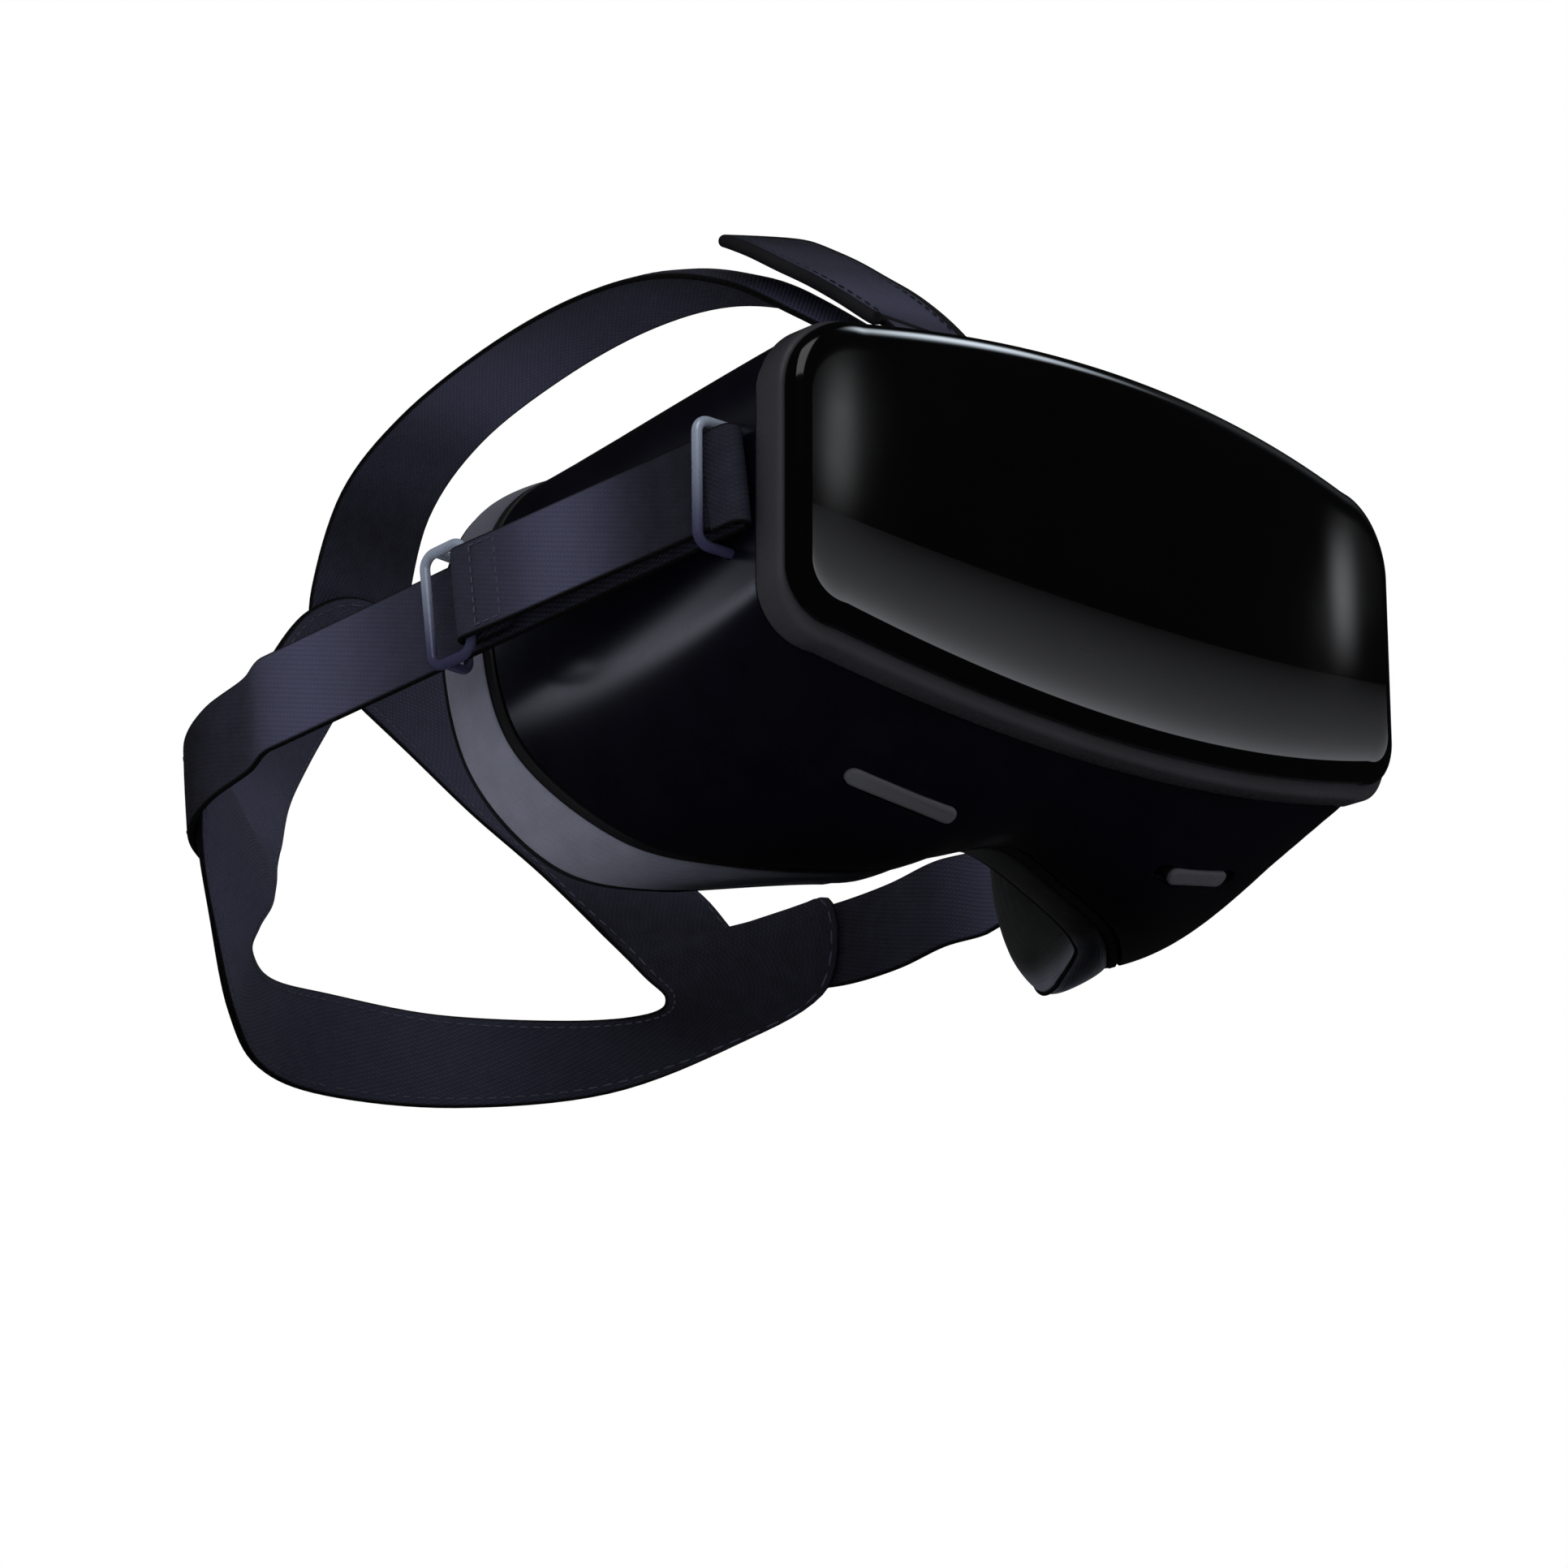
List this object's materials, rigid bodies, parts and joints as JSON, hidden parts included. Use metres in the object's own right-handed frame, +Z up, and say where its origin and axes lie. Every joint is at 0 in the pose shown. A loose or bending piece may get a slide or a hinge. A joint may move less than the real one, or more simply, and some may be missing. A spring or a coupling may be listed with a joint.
{
  "type": "vr headset",
  "caption": "Standalone virtual reality headset with a curved glossy visor, deep face cushion, wire strap rings and a webbing head harness.",
  "frame": {"origin": "centre of the bounding box's foot, on the ground the cushion lobes and the nape band stand on", "axes": "-Y is the way the wearer looks, +X the wearer's left, +Z up"},
  "size_m": [0.2222, 0.2822, 0.1798],
  "materials": {
    "glass": "high gloss",
    "trim": "satin",
    "shell": "satin",
    "slot_bar": "satin",
    "cushion": "knit over foam",
    "web": "woven webbing",
    "wire": "polished wire",
    "plastic": "satin",
    "liner": "matt",
    "lens": "clear",
    "display": "gloss",
    "board": "solder mask",
    "copper": "brushed copper",
    "steel": "brushed",
    "magnesium": "cast and machined",
    "pouch": "foil laminate",
    "acetal": "natural"
  },
  "bodies": {
    "headset": {"front_visor": "glass", "visor_frame": "trim", "main_housing": "shell", "chassis_plate": "magnesium", "chassis_screw_1": "steel", "chassis_screw_2": "steel", "chassis_screw_3": "steel", "chassis_screw_4": "steel", "lens_shroud": "liner", "mainboard": "board", "battery": "pouch", "heat_spreader": "copper", "fan_housing": "plastic", "speaker_left": "plastic", "speaker_right": "plastic", "proximity_sensor": "plastic", "usb_port": "steel", "ring_retainer_left": "steel", "ring_retainer_right": "steel", "strap_ring_left": "wire", "strap_ring_right": "wire", "fold_pin_left": "steel", "fold_pin_right": "steel", "side_strap_left": "web", "side_strap_right": "web", "rear_cradle": "web", "top_strap": "web", "top_strap_return": "web", "top_anchor": "plastic", "pinion_axle": "steel"},
    "face_interface": {"face_frame": "plastic", "face_cushion": "cushion"},
    "left_carriage": {"lens_barrel_left": "plastic", "lens_left": "lens", "display_left": "display", "rack_left": "acetal", "ipd_slider": "slot_bar"},
    "right_carriage": {"lens_barrel_right": "plastic", "lens_right": "lens", "display_right": "display", "rack_right": "acetal"},
    "spacing_pinion": {"ipd_pinion": "acetal"},
    "volume_key": {"volume_rocker": "slot_bar"},
    "power_key": {"power_button": "slot_bar"},
    "fan_wheel": {"fan_rotor": "plastic"},
    "strap_slider_left": {"strap_buckle_left": "wire", "outer_strap_left": "web"},
    "strap_slider_right": {"strap_buckle_right": "wire", "outer_strap_right": "web"},
    "strap_flap": {"top_flap": "web"}
  },
  "joints": [
    {"name": "face_interface_pull", "type": "slide", "parent": "headset", "child": "face_interface", "axis": [0, 1, 0], "range_m": [0, 0.03]},
    {"name": "lens_spacing", "type": "slide", "parent": "headset", "child": "left_carriage", "axis": [1, 0, 0], "range_m": [-0.004, 0.004]},
    {"name": "right_lens_spacing", "type": "slide", "parent": "headset", "child": "right_carriage", "axis": [1, 0, 0], "range_m": [-0.004, 0.004]},
    {"name": "pinion_turn", "type": "hinge", "parent": "headset", "child": "spacing_pinion", "pos_m": [0, -0.10985, 0.0403], "axis": [0, 1, 0], "range_deg": [-57.5, 57.5]},
    {"name": "volume_rock", "type": "hinge", "parent": "headset", "child": "volume_key", "pos_m": [-0.0443, -0.11453, 0.0112], "axis": [0, 0.7302, -0.6833], "range_deg": [-3, 3]},
    {"name": "power_press", "type": "slide", "parent": "headset", "child": "power_key", "axis": [0, 0, -1], "range_m": [0, 0.001]},
    {"name": "fan_spin", "type": "hinge", "parent": "headset", "child": "fan_wheel", "pos_m": [-0.058, -0.12465, 0.0708], "axis": [0, 1, 0], "continuous": true},
    {"name": "strap_length_left", "type": "slide", "parent": "headset", "child": "strap_slider_left", "axis": [0.1235, 0.9834, -0.1333], "range_m": [0, 0.02]},
    {"name": "strap_length_right", "type": "slide", "parent": "headset", "child": "strap_slider_right", "axis": [-0.1235, 0.9834, -0.1333], "range_m": [0, 0.02]},
    {"name": "flap_peel", "type": "hinge", "parent": "headset", "child": "strap_flap", "pos_m": [0, -0.07585, 0.1388], "axis": [1, 0, 0], "range_deg": [0, 60]}
  ],
  "couplings": [
    {"joint": "right_lens_spacing", "follows": "lens_spacing", "ratio": -1},
    {"joint": "pinion_turn", "follows": "lens_spacing", "rad_per_m": 250}
  ]
}
